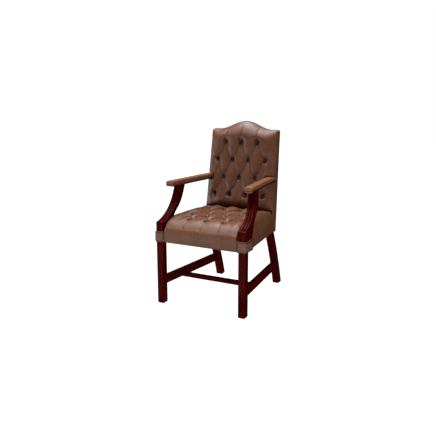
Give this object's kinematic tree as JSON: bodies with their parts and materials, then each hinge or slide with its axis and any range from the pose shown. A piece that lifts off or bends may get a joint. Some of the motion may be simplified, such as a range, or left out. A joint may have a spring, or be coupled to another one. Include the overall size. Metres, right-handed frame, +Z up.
{
  "type": "gainsborough chair",
  "caption": "Gainsborough library armchair: camel back and seat deep-buttoned in brown leather, padded arms, reeded mahogany arm supports, straight front legs, swept rear legs and stretchers.",
  "frame": {"origin": "on the floor, under the middle of the chair's bounding box", "axes": "+Z up; the chair faces -Y; +X is on the right of a viewer who looks at the chair's front"},
  "size_m": [0.5792, 0.7001, 1.0431],
  "materials": {
    "mahogany": "dark red polish, glossy",
    "beech": "sawn and planed, unpolished",
    "brown_leather": "satin, fine grain",
    "jute_webbing": "coarse weave",
    "black_cambric": "plain weave, matt",
    "antique_brass": "dark antique, satin",
    "screw_steel": "bright"
  },
  "bodies": {
    "root": {"arm_pad_left": "brown_leather", "arm_pad_right": "brown_leather", "arm_rail_left": "mahogany", "arm_rail_right": "mahogany", "arm_screw_left": "screw_steel", "arm_screw_right": "screw_steel", "arm_studs_left": "antique_brass", "arm_studs_right": "antique_brass", "arm_support_left": "mahogany", "arm_support_right": "mahogany", "back_buttons_1": "brown_leather", "back_buttons_2": "brown_leather", "back_buttons_3": "brown_leather", "back_buttons_4": "brown_leather", "back_crest_rail": "beech", "back_cushion": "brown_leather", "back_lower_rail": "beech", "back_studs": "antique_brass", "back_webbing": "jute_webbing", "block_screw_front_left": "screw_steel", "block_screw_front_right": "screw_steel", "block_screw_rear_left": "screw_steel", "block_screw_rear_right": "screw_steel", "corner_block_front_left": "beech", "corner_block_front_right": "beech", "corner_block_rear_left": "beech", "corner_block_rear_right": "beech", "corner_patch_left": "brown_leather", "corner_patch_right": "brown_leather", "cross_stretcher": "mahogany", "front_leg_left": "mahogany", "front_leg_right": "mahogany", "outside_back_panel": "brown_leather", "patch_studs_left": "antique_brass", "patch_studs_right": "antique_brass", "rear_leg_left": "mahogany", "rear_leg_right": "mahogany", "seat_back_rail": "beech", "seat_buttons_1": "brown_leather", "seat_buttons_2": "brown_leather", "seat_buttons_3": "brown_leather", "seat_buttons_4": "brown_leather", "seat_cushion": "brown_leather", "seat_dust_cover": "black_cambric", "seat_front_rail": "beech", "seat_side_rail_left": "beech", "seat_side_rail_right": "beech", "seat_webbing": "jute_webbing", "side_stretcher_left": "mahogany", "side_stretcher_right": "mahogany", "support_screw_left": "screw_steel", "support_screw_right": "screw_steel"}
  },
  "joints": []
}
